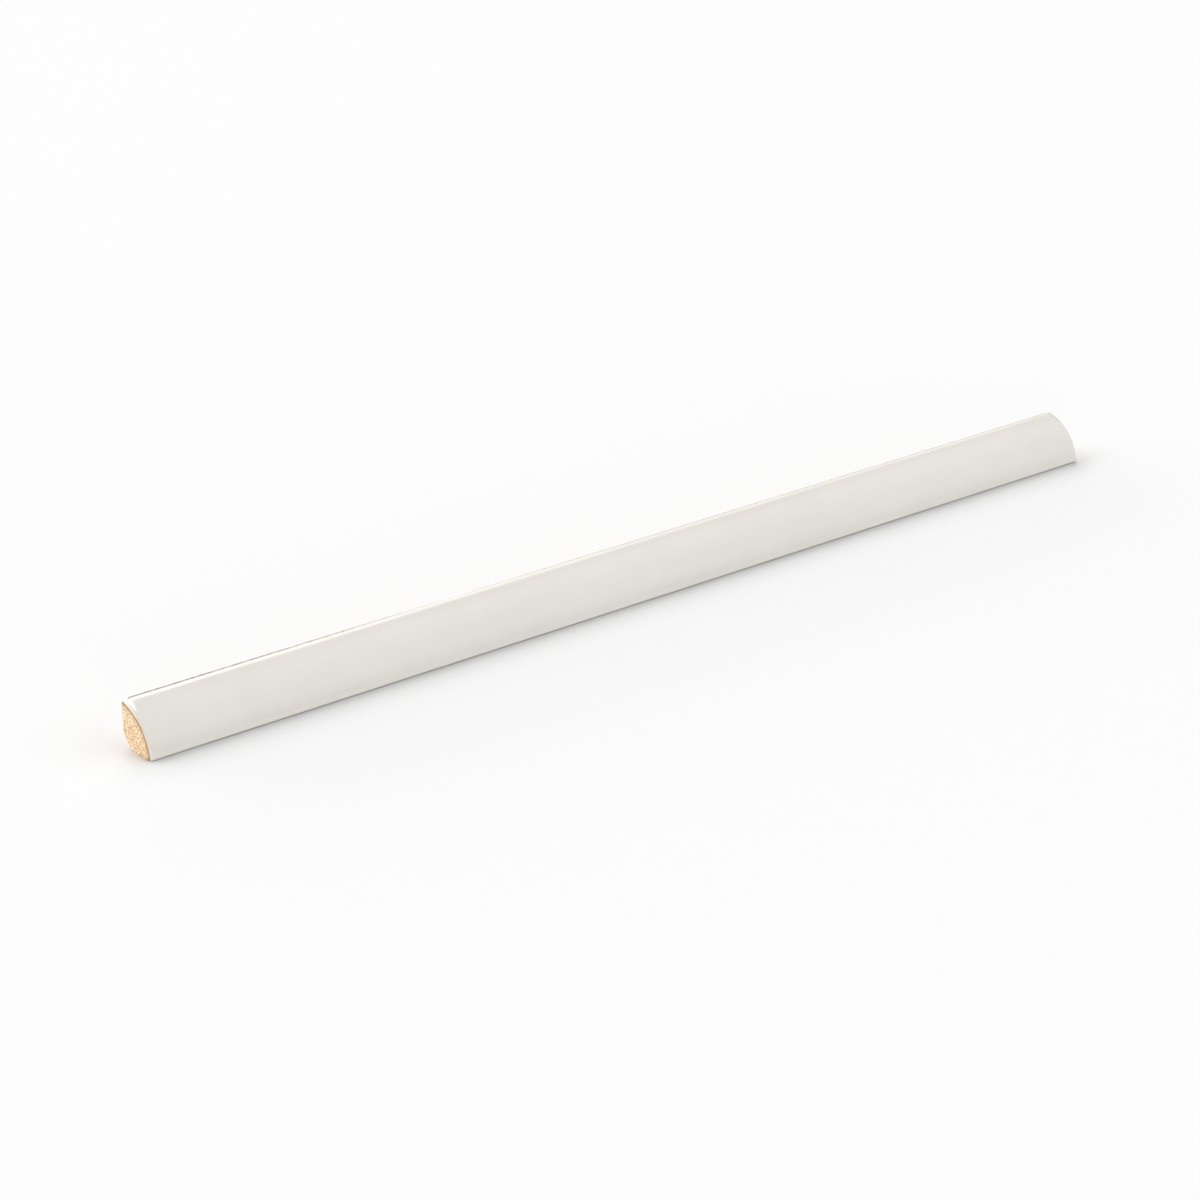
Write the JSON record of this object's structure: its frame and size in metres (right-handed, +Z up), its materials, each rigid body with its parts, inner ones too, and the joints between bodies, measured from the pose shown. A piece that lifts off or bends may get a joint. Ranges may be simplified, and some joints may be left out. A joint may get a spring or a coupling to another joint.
{
  "type": "jolly trim tile",
  "caption": "Straight quarter-round glazed ceramic strip with a flat bare back and base, set along the open edge or outside corner of wall tiling to finish it.",
  "frame": {"origin": "middle of the bottom of the strip's box, at the level of the flat base", "axes": "+X along the strip, +Y from the bowed glazed face towards the flat back, +Z up from the base to the crown"},
  "size_m": [0.3048, 0.0114, 0.012],
  "materials": {
    "glazed_body": "gloss"
  },
  "bodies": {
    "root": {"trim_tile": "glazed_body"}
  },
  "joints": []
}
